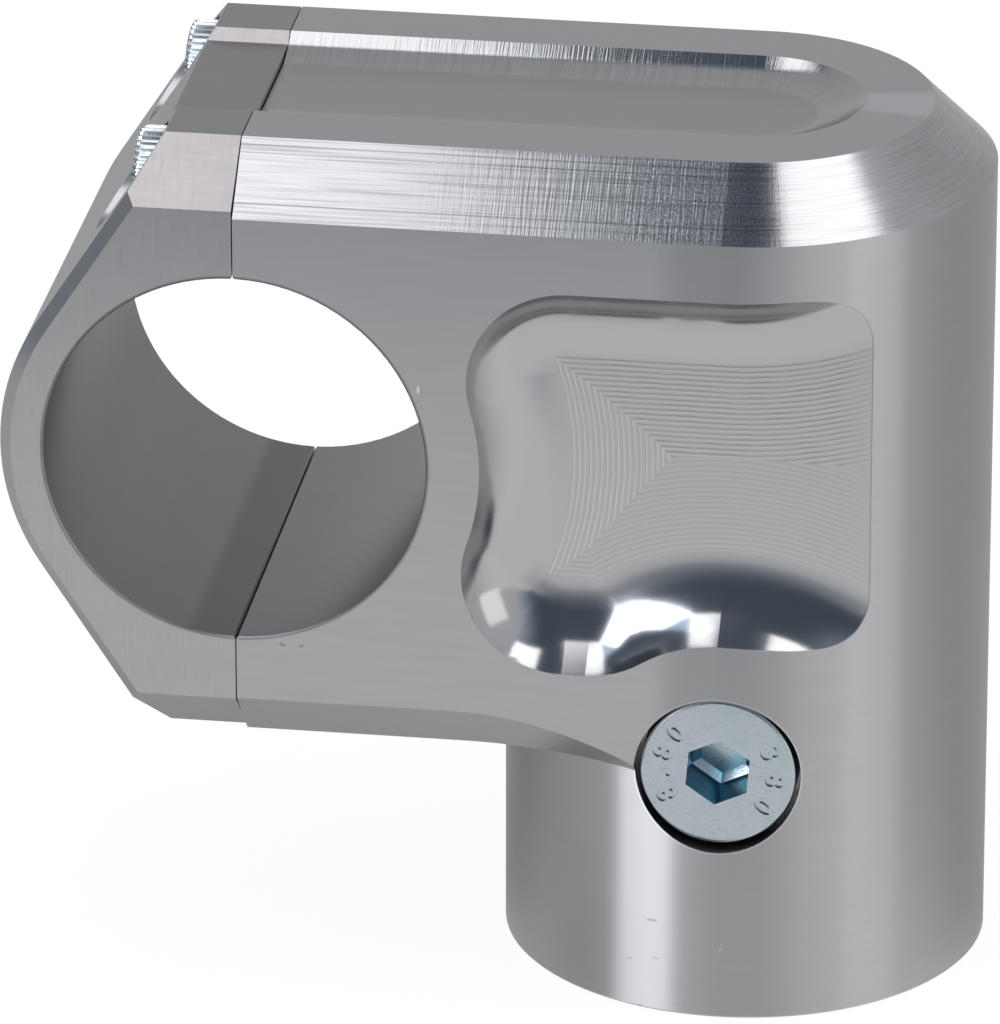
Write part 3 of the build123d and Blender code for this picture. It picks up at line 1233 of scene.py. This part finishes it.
@dataclass(frozen=True)
class Room:
    """The room's light, which is even, but in metal dark in front and above, with a bright right side and strip.

    The parts of the room are given by sines, and the strip's sides in radians.
    """

    tint: Colour = (0.95, 0.96, 1.0, 1.0)
    dark_tint: Colour = DARK_TINT
    level: float = 0.66
    left_less: float = -0.10
    left_front: Pair = (0.3, 0.8)
    left_side: Pair = (-0.1, 0.4)
    dark_level: float = 0.15
    dark_front: Pair = (-0.08, 0.5)
    ceiling: Pair = (0.78, 0.2)
    ceiling_front: Pair = (0.32, 0.2)
    right_level: float = 0.80
    right_side: Pair = (0.45, 0.4)
    right_top: Pair = (0.8, 0.3)
    right_front: Pair = (0.3, 0.6)
    strip_level: float = 1.2
    strip_sides: Pair = (-0.96, -0.47)
    strip_soft: float = 0.12
    strip_top: Pair = (0.93, 0.08)

    def build(self) -> bpy.types.World:
        """Makes the world."""
        graph = Graph(bpy.data.worlds.new("room"))
        east, north, up = graph.parts(graph.coordinates.outputs["Generated"])
        right = east.above(*self.right_side) * up.below(*self.right_top) * north.below(*self.right_front)
        ceiling = up.above(*self.ceiling) * north.below(*self.ceiling_front)
        dark = north.below(*self.dark_front).most(ceiling)
        strip = east.angle_from(-north).between(*self.strip_sides, self.strip_soft) * up.below(*self.strip_top)
        left = north.below(*self.left_front) * east.below(*self.left_side)
        level = left.times_plus(self.left_less, self.level).cover(dark, self.dark_level)
        level = level.cover(right, self.right_level).cover(strip, self.strip_level)
        mask = graph.seen()
        tint = graph.tint(dark * (1.0 - right) * mask, self.tint, self.dark_tint)
        values = {"Color": tint, "Strength": level * mask + (1.0 - mask)}
        return graph.finish(graph.node("ShaderNodeBackground", None, values).outputs[0])


@dataclass(frozen=True)
class Softbox:
    """A soft lamp, given by where it stands, where it looks and how large it is."""

    name: str
    place: Vector
    aim: Vector
    width: float
    height: float
    brightness: float

    def build(self) -> None:
        """Adds the lamp. Its brightness is that of its face, where 1 is white, and a hung lamp's width lies along X."""
        lamp = bpy.data.lights.new(self.name, "AREA")
        lamp.shape = "RECTANGLE"
        lamp.size = self.width
        lamp.size_y = self.height
        lamp.energy = self.brightness * self.width * self.height * math.pi
        back = (self.place - self.aim).normalized()
        hung = back.z > 0.9
        across = Vector((0, 1, 0) if hung else (0, 0, 1)).cross(back).normalized()
        lamp_object = bpy.data.objects.new(self.name, lamp)
        axes = Matrix((across, back.cross(across), back)).transposed().to_4x4()
        lamp_object.matrix_world = Matrix.Translation(self.place) @ axes
        bpy.context.scene.collection.objects.link(lamp_object)


@dataclass
class Studio:
    """Table, light and camera."""

    camera_azimuth: float = math.radians(8.419)
    camera_elevation: float = math.radians(23.464)
    camera_distance: float = 887.6 * MM
    camera_target: Vector = field(default_factory=lambda: Vector((-20.97, 0, 35.81)) * MM)
    focal_pixels: float = 10590
    picture_width: float = 1000
    sensor: float = 36
    floor_size: float = 8.0

    def build(self) -> None:
        """Sets up everything round the object."""
        self.set_camera()
        self.lay_floor()
        bpy.context.scene.world = Room().build()
        self.set_lamps()
        bpy.context.scene.view_settings.view_transform = "Standard"

    def set_camera(self) -> None:
        """Stands the camera where the photograph was taken from."""
        flat, rise = math.cos(self.camera_elevation), math.sin(self.camera_elevation)
        back = Vector((math.sin(self.camera_azimuth) * flat, -math.cos(self.camera_azimuth) * flat, rise))
        data = bpy.data.cameras.new("camera")
        data.sensor_fit = "HORIZONTAL"
        data.sensor_width = self.sensor
        data.lens = self.focal_pixels * self.sensor / self.picture_width
        data.clip_start = 0.05
        data.clip_end = 50
        camera = bpy.data.objects.new("camera", data)
        camera.location = self.camera_target + back * self.camera_distance
        camera.rotation_euler = (-back).to_track_quat("-Z", "Y").to_euler()
        bpy.context.scene.collection.objects.link(camera)
        bpy.context.scene.camera = camera

    def lay_floor(self) -> None:
        """Adds the table top."""
        bpy.ops.object.select_all(action="DESELECT")
        bpy.ops.mesh.primitive_plane_add(size=self.floor_size)
        floor = bpy.context.active_object
        floor.name = "floor"
        floor.data.materials.append(FloorFinish().build())

    def set_lamps(self) -> None:
        """Hangs two softboxes, and stands two at the front."""
        centre = Vector((-0.01, 0, 0.04))
        below = Vector((0, 0, 0.3))
        left, right = Vector((-0.105, -0.09, 0.372)), Vector((0.160, -0.03, 0.372))
        left_front, right_front = Vector((-0.405, -0.475, 0.34)), Vector((0.62, -0.28, 0.16))
        left_aim = Vector((centre.x, centre.y, left_front.z))
        Softbox("left_overhead", left, left - below, width=0.09, height=0.40, brightness=2.4).build()
        Softbox("right_overhead", right, right - below, width=0.176, height=0.28, brightness=2.6).build()
        Softbox("left_front", left_front, left_aim, width=0.290, height=0.76, brightness=4.2).build()
        Softbox("right_front", right_front, centre, width=0.34, height=0.40, brightness=0.85).build()


def main() -> None:
    """Dresses the object and sets the studio."""
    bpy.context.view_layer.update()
    places = Places.from_frame()
    Studio().build()
    zinc = ZincPlate(places).build()
    bright, silvery = (0.54, 0.575, 0.585, 1.0), (0.57, 0.595, 0.61, 1.0)
    bright_zinc = ZincPlate(places, name="bright_zinc", colour=bright, second=silvery).build()
    MilledPieces({"riser_body": BlockFinish(places).build(), "bar_cap": CapFinish(places).build()}).dress()
    ClampScrews(bright_zinc).build()
    CrossScrew(zinc).build()
    log.info("boxes written")


if __name__ == "__main__":
    logging.basicConfig(level=logging.INFO)
    main()
